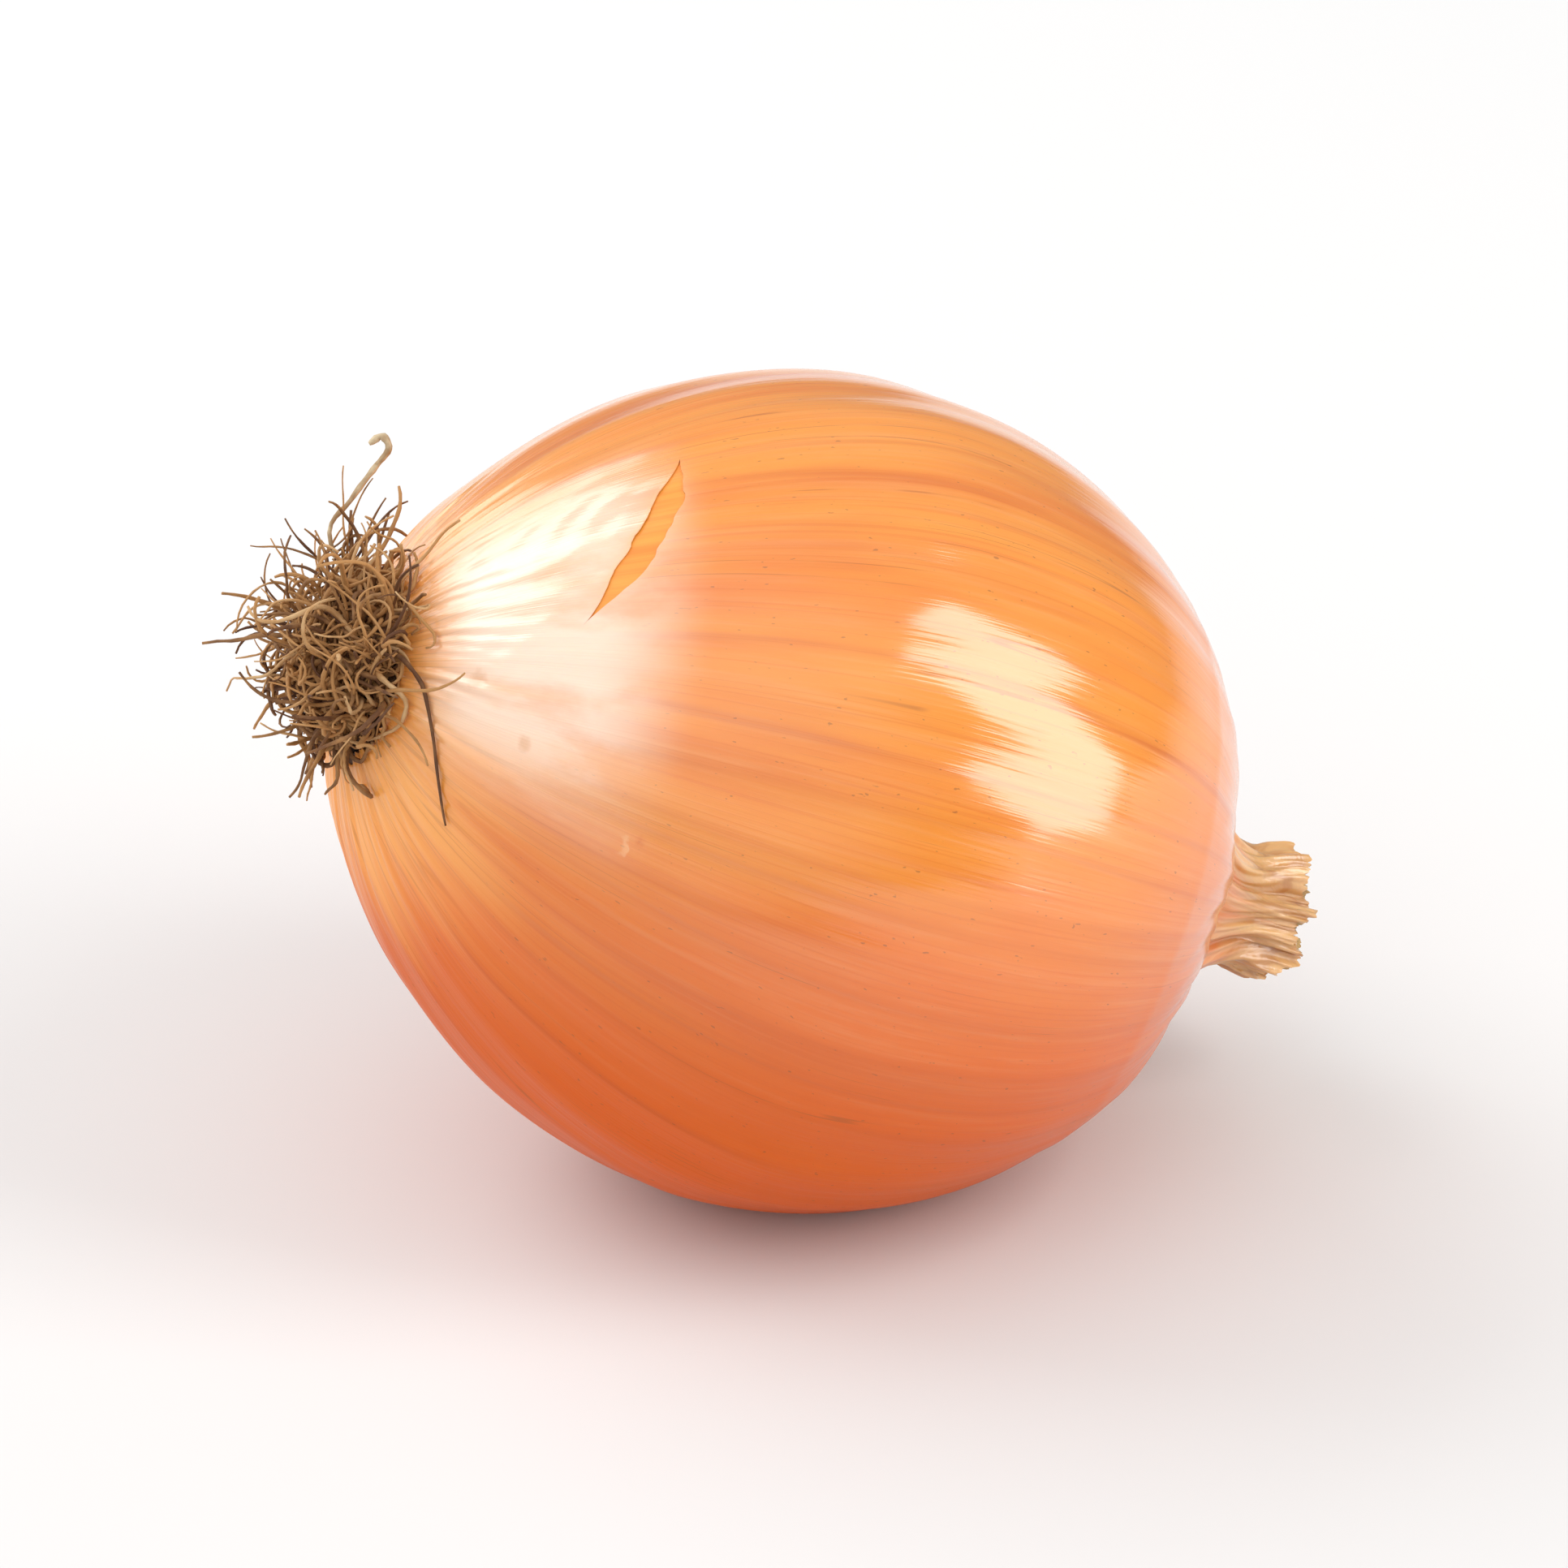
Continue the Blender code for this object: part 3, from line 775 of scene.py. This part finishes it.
def make_roots(material):
    """The mat of dried roots, with the two that stand out."""
    draw = random.Random(ROOT_SEED)
    strands = root_strands(draw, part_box("root_tuft"))
    rising = smooth_line(RISING_ROOT, RISING_POINTS)
    rising_radii = RISING_RADIUS * (0.7 + 0.5 * np.linspace(0.0, 1.0, RISING_POINTS) ** 2)
    rising_radii *= np.array([draw.uniform(0.8, 1.2) for _ in range(RISING_POINTS)])
    rising_radii[-3:] *= (0.85, 0.7, 0.4)
    strands.append((rising, rising_radii, RISING_TINT))
    lying = smooth_line(LYING_ROOT, LYING_POINTS)
    lying = np.array([tuple(clear_of_skin(Vector(point), 0.3 * MM)) for point in lying])
    strands.append((lying, root_radii(LYING_POINTS, LYING_RADIUS, draw), LYING_TINT))
    piece = make_strands("roots", strands, ROOT_SIDES, material)
    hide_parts("root_tuft")


def make_root_plate(material):
    """The corky plate that the roots grow from, in the dish at the root end."""
    angle = round_axis(PLATE_COLUMNS)
    share = np.linspace(0.0, 1.0, PLATE_ROWS)[:, None]
    radius = PLATE_RADIUS * share
    rings = np.cos(share * 40.0 + 2.0 * np.cos(3 * angle))
    bumps = random_waves(angle + 5.0 * share, (7, 11, 17, 23), seed=71) * rings
    height = LIP_HEIGHT - PLATE_DOME * (1.0 - share ** 2) + PLATE_BUMP * bumps * share
    x = radius * np.cos(angle)
    y = radius * np.sin(angle)
    face = np.stack(np.broadcast_arrays(x, y, height), axis=-1)
    back = face[-1:] * [1.0, 1.0, 0.0] + [0.0, 0.0, LIP_HEIGHT + PLATE_BACK]
    end = back * [0.0, 0.0, 1.0]
    rows = np.concatenate([face, back, end])
    make_grid_piece("root_plate", rows, material)


def make_neck_fibres(material):
    """Short torn fibres round the cut rims of the neck."""
    draw = random.Random(FIBRE_SEED)
    strands = []
    for _ in range(FIBRE_COUNT):
        angle = draw.uniform(0.0, 2.0 * math.pi)
        inset = draw.choice((0.7, 1.2, 1.8, 2.5)) * MM
        height = NECK_RIM_HEIGHT - draw.uniform(0.8, 1.8) * MM
        radius = float(skin_radius(height)) - inset
        start = Vector(grown(radius, np.float64(height), np.float64(angle)).tolist())
        outward_way = Vector((math.cos(angle), math.sin(angle), 0.0))
        heading = (Vector((0.0, 0.0, 1.0)) + outward_way * draw.uniform(-0.4, 0.4)).normalized()
        curl = math.radians(draw.uniform(10, 70))
        line = curly_line(start, heading, draw.uniform(1.6, 3.0) * MM, draw, curl, 0.3)
        strands.append((line, root_radii(len(line), FIBRE_RADIUS, draw), draw.uniform(0.2, 1.0)))
    make_strands("neck_fibres", strands, FIBRE_SIDES, material)


class Shading:
    """A material's nodes, with short calls that add and join them."""

    def __init__(self, name):
        self.material = bpy.data.materials.new(name)
        self.material.use_nodes = True
        self.tree = self.material.node_tree
        self.shader = self.tree.nodes["Principled BSDF"]

    def node(self, kind, inputs, **settings):
        """A new node with its settings, and its inputs joined or given their values."""
        made = self.tree.nodes.new(kind)
        for name, value in settings.items():
            setattr(made, name, value)
        for name, value in inputs.items():
            self.give(made.inputs[name], value)
        return made

    def give(self, socket, value):
        """Join a socket to another one, or set its value."""
        if isinstance(value, bpy.types.NodeSocket):
            self.tree.links.new(value, socket)
        else:
            socket.default_value = value

    def math(self, operation, first, second=0.0, third=0.0):
        """A sum, product or other function of numbers."""
        sockets = {0: first, 1: second, 2: third}
        return self.node("ShaderNodeMath", sockets, operation=operation).outputs[0]

    def remap(self, value, low, high, new_low=0.0, new_high=1.0):
        """Go smoothly from one number to another as a value goes from low to high."""
        sockets = {"Value": value, "From Min": low, "From Max": high}
        sockets.update({"To Min": new_low, "To Max": new_high})
        return self.node("ShaderNodeMapRange", sockets, interpolation_type="SMOOTHSTEP").outputs[0]

    def mix(self, share, first, second):
        """Go from one colour to another as the share goes from 0 to 1."""
        sockets = {0: share, 6: first, 7: second}
        return self.node("ShaderNodeMix", sockets, data_type="RGBA").outputs[2]

    def noise(self, vector, scale=1.0, detail=2.0, roughness=0.5):
        """Noise between about 0.25 and 0.75."""
        sockets = {"Vector": vector, "Scale": scale, "Detail": detail, "Roughness": roughness}
        return self.node("ShaderNodeTexNoise", sockets).outputs[0]

    def attribute(self, name):
        """A number that the mesh gives for each of its points."""
        return self.node("ShaderNodeAttribute", {}, attribute_name=name).outputs["Fac"]

    def standing(self):
        """The place on the bulb as it stands, and its x, y and z in metres."""
        place = self.node("ShaderNodeTexCoord", {}).outputs["Object"]
        turn = (0.0, math.radians(90) + TILT, 0.0)
        sockets = {"Vector": place, "Location": tuple(LYING.translation), "Rotation": turn}
        standing = self.node("ShaderNodeMapping", sockets, vector_type="TEXTURE").outputs[0]
        parts = self.node("ShaderNodeSeparateXYZ", {0: standing}).outputs
        return standing, parts[0], parts[1], parts[2]

    def meridian(self, parts, around, along, shift=0.0):
        """A vector for textures that run along the bulb from the root end to the neck."""
        _, x, y, z = parts
        square = self.math("ADD", self.math("MULTIPLY", x, x), self.math("MULTIPLY", y, y))
        radius = self.math("MAXIMUM", self.math("SQRT", square), 0.0001)
        across = self.math("DIVIDE", around, radius)
        sockets = {
            0: self.math("MULTIPLY", x, across),
            1: self.math("MULTIPLY", y, across),
            2: self.math("MULTIPLY_ADD", z, along, shift),
        }
        return self.node("ShaderNodeCombineXYZ", sockets).outputs[0]

    def spot(self, parts, place_in_mm, radius_in_mm, softness):
        """An uneven round mark on the skin, 1 inside and 0 outside."""
        place = tuple(length * MM for length in place_in_mm)
        away = self.node("ShaderNodeVectorMath", {0: parts[0], 1: place}, operation="DISTANCE")
        uneven = self.math("SUBTRACT", self.noise(parts[0], 900.0, 2.0, 0.6), 0.5)
        away = self.math("MULTIPLY_ADD", uneven, 1.3 * MM, away.outputs["Value"])
        radius = radius_in_mm * MM
        return self.remap(away, radius * (1.0 - softness), radius, 1.0, 0.0)

    def hairlines(self, value, width):
        """Thin lines where a noise passes its middle value."""
        away = self.math("ABSOLUTE", self.math("SUBTRACT", value, 0.5))
        return self.remap(away, 0.15 * width, width, 1.0, 0.0)

    def bump(self, height, distance, strength=1.0, below=None):
        """A normal that is tipped by the slope of a height."""
        sockets = {"Height": height, "Distance": distance, "Strength": strength}
        if below is not None:
            sockets["Normal"] = below
        return self.node("ShaderNodeBump", sockets).outputs[0]

    def set(self, **values):
        """Join or set the shader's own sockets."""
        for name, value in values.items():
            self.give(self.shader.inputs[name.replace("_", " ")], value)


def skin_colour(shading, parts, fine):
    """Amber and golden skin with streaks, veins, specks, straw at the neck and honey at the roots,
    with painted shade on the lower side and the neck end and painted light on the upper side.
    """
    low_side, height = parts[1], parts[3]
    clouds = shading.noise(shading.meridian(parts, 2.2, 26.0, 5.0), 1.0, 3.0, 0.5)
    streaks = shading.noise(shading.meridian(parts, 5.0, 20.0), 1.0, 3.0, 0.6)
    vein_noise = shading.noise(shading.meridian(parts, 12.0, 5.0, 11.0), 1.0, 1.0)
    thread_noise = shading.noise(shading.meridian(parts, 26.0, 8.0, 17.0), 1.0, 1.0)
    some = shading.remap(shading.noise(shading.meridian(parts, 6.0, 90.0, 23.0)), 0.50, 0.62)
    veins = shading.math("MULTIPLY", shading.hairlines(vein_noise, 0.007), some)
    threads = shading.hairlines(thread_noise, 0.03)
    speck_noise = shading.noise(shading.meridian(parts, 95.0, 1400.0, 31.0), 1.0, 1.0)
    specks = shading.remap(speck_noise, 0.725, 0.78, 0.0, 0.45)

    # Golden where the clouds say, and more golden towards the upper side as painted light
    golden_and_painted_top_light = shading.math("MULTIPLY_ADD", low_side, -8.0, clouds)
    colour = shading.mix(shading.remap(golden_and_painted_top_light, 0.30, 0.68), AMBER, GOLDEN)
    # Painted shade: deeper red-orange towards the lower side and the neck end
    painted_low_and_neck_shade = shading.math("MULTIPLY_ADD", clouds, 0.020, low_side)
    painted_low_and_neck_shade = shading.math("MULTIPLY_ADD", height, 0.25, painted_low_and_neck_shade)
    colour = shading.mix(shading.remap(painted_low_and_neck_shade, -0.006, 0.032, 0.0, 0.82), colour, EMBER_PAINTED_SHADE)
    colour = shading.mix(shading.remap(streaks, 0.48, 0.78, 0.0, 0.55), colour, RUSSET)
    # Russet towards the neck end: partly the neck end's deeper colour, partly painted shade
    riper_and_painted_shade = shading.math("MULTIPLY_ADD", streaks, 0.012, height)
    colour = shading.mix(shading.remap(riper_and_painted_shade, 0.012, 0.038, 0.0, 0.42), colour, RUSSET)
    # Pale fine streaks, fading towards the lower side as painted shade
    pale_streaks_with_painted_shade = shading.remap(low_side, -0.004, 0.022, 0.14, 0.03)
    pale_streaks_with_painted_shade = shading.math("MULTIPLY", shading.remap(fine, 0.45, 0.75), pale_streaks_with_painted_shade)
    colour = shading.mix(pale_streaks_with_painted_shade, colour, PALE)
    colour = shading.mix(shading.math("MULTIPLY", threads, 0.22), colour, RUSSET)
    vein = shading.math("MULTIPLY", shading.attribute("vein"), shading.remap(fine, 0.3, 0.7, 0.2, 0.5))
    colour = shading.mix(vein, colour, VEIN_RED)
    colour = shading.mix(shading.math("MULTIPLY", veins, 0.45), colour, VEIN_BROWN)
    colour = shading.mix(specks, colour, BARK)

    towards_neck = shading.math("MULTIPLY_ADD", streaks, 0.020, height)
    husk_noise = shading.noise(shading.meridian(parts, 6.0, 40.0, 47.0), 1.0, 3.0)
    straw = shading.mix(shading.remap(husk_noise, 0.42, 0.72, 0.0, 0.8), STRAW, HUSK)
    # Painted shade: the pleats' hollows darkened towards husk brown
    straw = shading.mix(shading.math("MULTIPLY", shading.attribute("crease_shade"), 0.55), straw, HUSK)
    colour = shading.mix(shading.remap(towards_neck, 0.040, 0.053, 0.0, 0.9), colour, straw)

    wrinkle_noise = shading.noise(shading.meridian(parts, 17.0, 45.0, 41.0), 1.0, 2.0)
    wrinkles = shading.hairlines(wrinkle_noise, 0.035)
    honey = shading.mix(shading.math("MULTIPLY", wrinkles, 0.28), HONEY, BARK)
    towards_roots = shading.math("MULTIPLY_ADD", streaks, 0.012, height)
    return shading.mix(shading.remap(towards_roots, -0.0200, -0.0300, 0.0, 0.8), colour, honey)


def small_marks(shading, parts, colour):
    """A crescent nick with a darker side, and faint brown blemishes near the roots."""
    shade = shading.spot(parts, NICK_SHADE, 0.75, 0.9)
    colour = shading.mix(shading.math("MULTIPLY", shade, 0.55), colour, RUSSET)
    whole = shading.spot(parts, NICK_ROUND, 0.95, 0.30)
    cut = shading.spot(parts, NICK_CUT, 1.15, 0.40)
    crescent = shading.math("MULTIPLY", whole, shading.math("SUBTRACT", 1.0, cut))
    colour = shading.mix(shading.math("MULTIPLY", crescent, 0.6), colour, PALE)
    for place, radius in BLEMISHES:
        blemish = shading.math("MULTIPLY", shading.spot(parts, place, radius, 0.9), 0.40)
        colour = shading.mix(blemish, colour, BLEMISH)
    return colour


def outer_skin_material():
    """The glossy papery skin that shows nearly everywhere."""
    shading = Shading("outer_onion_skin")
    parts = shading.standing()
    fine = shading.noise(shading.meridian(parts, 34.0, 55.0, 3.0), 1.0, 3.0, 0.6)
    fibres = shading.noise(shading.meridian(parts, 120.0, 90.0, 7.0), 1.0, 2.0)
    colour = skin_colour(shading, parts, fine)
    loose = shading.attribute("loose")
    patches = shading.noise(shading.meridian(parts, 3.4, 95.0, 61.0), 1.0, 5.0, 0.55)
    # Loose skin painted silky pale: partly its own paleness, partly painted sheen of the left softbox
    loose_pale_and_painted_sheen = shading.math("MULTIPLY", loose, shading.remap(patches, 0.34, 0.58, 0.50, 0.96))
    colour = shading.mix(loose_pale_and_painted_sheen, colour, SILK_AND_PAINTED_SHEEN)
    colour = shading.mix(shading.math("MULTIPLY", shading.attribute("edge"), 0.6), colour, PALE)
    colour = small_marks(shading, parts, colour)
    grain = shading.bump(fibres, 0.00004, 0.5)
    grain_strength = shading.remap(parts[3], 0.040, 0.030, 0.15, 0.5)
    grain = shading.bump(fine, 0.00006, grain_strength, grain)
    shading.set(Base_Color=colour, Normal=grain, Coat_Normal=grain)
    shading.set(Roughness=shading.remap(fine, 0.3, 0.75, 0.34, 0.48), Specular_IOR_Level=0.15)
    shading.set(Specular_Tint=(1.0, 0.60, 0.32, 1.0))
    shading.set(Coat_Weight=shading.remap(parts[1], -0.006, 0.024, 1.0, 0.05), Coat_Roughness=0.14)
    shading.set(Coat_IOR=1.88)
    shading.set(Subsurface_Weight=0.10, Subsurface_Radius=(1.0, 0.35, 0.12), Subsurface_Scale=0.002)
    return shading.material


def under_skin_material():
    """The fresher, duller skin below, dark in the dish, with painted shade down the neck's hollow."""
    shading = Shading("under_onion_skin")
    parts = shading.standing()
    height = parts[3]
    fine = shading.noise(shading.meridian(parts, 30.0, 50.0, 53.0), 1.0, 3.0, 0.6)
    amber = shading.mix(shading.remap(fine, 0.35, 0.7), UNDER_GOLDEN, UNDER_AMBER)
    # Painted shade: near black down the neck's hollow
    colour = shading.mix(shading.remap(height, 0.0375, 0.040), amber, HOLLOW_PAINTED_SHADE)
    colour = shading.mix(shading.remap(height, -0.0340, -0.0356), colour, BARK)
    shading.set(Base_Color=colour, Normal=shading.bump(fine, 0.00012, 0.6))
    shading.set(Roughness=0.42, Coat_Weight=0.4, Coat_Roughness=0.22)
    return shading.material


def paper_material():
    """Dull dry paper of the neck's inner skins, darker deeper in the neck as painted shade."""
    shading = Shading("neck_paper")
    parts = shading.standing()
    fine = shading.noise(shading.meridian(parts, 16.0, 120.0), 1.0, 4.0, 0.6)
    colour = shading.mix(shading.remap(fine, 0.35, 0.65), PAPER_PALE, PAPER_DARK)
    # Painted shade: darker deeper down inside the neck
    colour = shading.mix(shading.remap(parts[3], 0.0445, 0.041), colour, PAPER_PAINTED_SHADE)
    shading.set(Base_Color=colour, Normal=shading.bump(fine, 0.0002, 0.8), Roughness=0.62)
    return shading.material


def root_material():
    """Dry wiry roots, each of its own brown."""
    shading = Shading("dried_root_fibre")
    parts = shading.standing()
    patches = shading.noise(parts[0], 420.0, 3.0, 0.6)
    uneven = shading.math("MULTIPLY_ADD", patches, 0.9, -0.45)
    tint = shading.math("ADD", shading.attribute("tint"), uneven)
    colour = shading.mix(shading.remap(tint, 0.0, 0.55), ROOT_DARK, ROOT_BROWN)
    colour = shading.mix(shading.remap(tint, 0.7, 1.5), colour, ROOT_TAN)
    withered = shading.mix(shading.remap(patches, 0.38, 0.62), ROOT_GREY_BROWN, ROOT_GREY_TAN)
    colour = shading.mix(shading.remap(shading.attribute("tint"), 1.3, 1.6), colour, withered)
    grain = shading.noise(parts[0], 3000.0, 2.0)
    shading.set(Base_Color=colour, Normal=shading.bump(grain, 0.0001, 0.8), Roughness=0.75)
    return shading.material


def cork_material():
    """The crumbly brown root plate."""
    shading = Shading("corky_plate")
    parts = shading.standing()
    crumbs = shading.noise(parts[0], 700.0, 4.0, 0.6)
    colour = shading.mix(shading.remap(crumbs, 0.35, 0.7), CORK_DARK, CORK_BROWN)
    shading.set(Base_Color=colour, Normal=shading.bump(crumbs, 0.0006, 1.0), Roughness=0.9)
    return shading.material


def make_floor():
    """A plain pale floor, large enough to fill the view."""
    shading = Shading("pale_floor")
    shading.set(Base_Color=FLOOR_GREY, Roughness=0.9)
    mesh = bpy.data.meshes.new("floor")
    mesh.from_pydata([(-3, -3, 0), (3, -3, 0), (3, 3, 0), (-3, 3, 0)], [], [(0, 1, 2, 3)])
    mesh.materials.append(shading.material)
    floor = bpy.data.objects.new("floor", mesh)
    bpy.context.scene.collection.objects.link(floor)


def way_to(azimuth, elevation):
    """The direction from the onion to a camera or lamp. Azimuth 0 is at -Y, and 90 at +X."""
    flat = math.cos(elevation)
    return Vector((math.sin(azimuth) * flat, -math.cos(azimuth) * flat, math.sin(elevation)))


def make_softbox(name, azimuth, elevation, distance, size, power, colour):
    """A soft lamp that faces the onion."""
    lamp = bpy.data.lights.new(name, "AREA")
    lamp.shape = "RECTANGLE"
    lamp.size, lamp.size_y = size
    lamp.energy = power
    lamp.color = colour
    holder = bpy.data.objects.new(name, lamp)
    way = way_to(math.radians(azimuth), math.radians(elevation))
    holder.location = LAMPS_AIM + way * distance
    holder.rotation_euler = way.to_track_quat("Z", "Y").to_euler()
    bpy.context.scene.collection.objects.link(holder)


def make_white_room():
    """A white room round the onion, brighter above and to the left of the camera."""
    world = bpy.data.worlds.new("white_room")
    world.use_nodes = True
    nodes, links = world.node_tree.nodes, world.node_tree.links
    way = nodes.new("ShaderNodeTexCoord").outputs["Generated"]
    facing = nodes.new("ShaderNodeVectorMath")
    facing.operation = "DOT_PRODUCT"
    facing.inputs[1].default_value = way_to(BRIGHT_AZIMUTH, BRIGHT_ELEVATION)
    glow = nodes.new("ShaderNodeMapRange")
    glow.interpolation_type = "SMOOTHSTEP"
    glow.inputs["From Min"].default_value = GLOW_FROM
    glow.inputs["To Max"].default_value = GLOW
    total = nodes.new("ShaderNodeMath")
    parts = nodes.new("ShaderNodeSeparateXYZ")
    brightness = nodes.new("ShaderNodeMapRange")
    brightness.inputs["From Min"].default_value = 0.0
    brightness.inputs["From Max"].default_value = ROOM_HIGH_FROM
    brightness.inputs["To Min"].default_value = ROOM_LOW
    brightness.inputs["To Max"].default_value = ROOM_HIGH
    links.new(way, parts.inputs[0])
    links.new(parts.outputs[2], brightness.inputs["Value"])
    links.new(way, facing.inputs[0])
    links.new(facing.outputs["Value"], glow.inputs["Value"])
    links.new(brightness.outputs[0], total.inputs[0])
    links.new(glow.outputs[0], total.inputs[1])
    links.new(total.outputs[0], nodes["Background"].inputs["Strength"])
    nodes["Background"].inputs["Color"].default_value = WHITE
    bpy.context.scene.world = world


def light_scene():
    """Two softboxes, placed as their reflections in the photo show them, and a white room."""
    make_softbox(
        "softbox_right", azimuth=58, elevation=29, distance=0.60,
        size=(0.27, 0.70), power=2.55, colour=(1.0, 0.985, 0.965),
    )
    make_softbox(
        "softbox_left", azimuth=-141, elevation=32, distance=0.75,
        size=(0.70, 0.70), power=3.8, colour=(1.0, 0.99, 0.98),
    )
    make_white_room()


def make_camera():
    """The photo's viewing angle, framed on the one onion."""
    low, high = cad_bounds
    camera = bpy.data.cameras.new("camera")
    camera.sensor_width = SENSOR_WIDTH
    camera.lens = SENSOR_WIDTH * CAMERA_DISTANCE / VIEW_WIDTH
    camera.clip_end = CAMERA_REACH
    holder = bpy.data.objects.new("camera", camera)
    way = way_to(CAMERA_AZIMUTH, CAMERA_ELEVATION)
    holder.location = (low + high) / 2.0 + way * CAMERA_DISTANCE
    holder.rotation_euler = way.to_track_quat("Z", "Y").to_euler()
    bpy.context.scene.collection.objects.link(holder)
    bpy.context.scene.camera = holder


def main():
    """Make the onion's pieces, the floor, the light and the camera."""
    paper = paper_material()
    make_outer_skin(outer_skin_material())
    make_under_skin(under_skin_material())
    for index in range(len(NECK_LAYER_RIMS)):
        make_neck_layer(index, paper)
    make_neck_fibres(paper)
    make_roots(root_material())
    make_root_plate(cork_material())
    make_floor()
    light_scene()
    make_camera()
    bpy.context.scene.view_settings.view_transform = "Standard"


main()
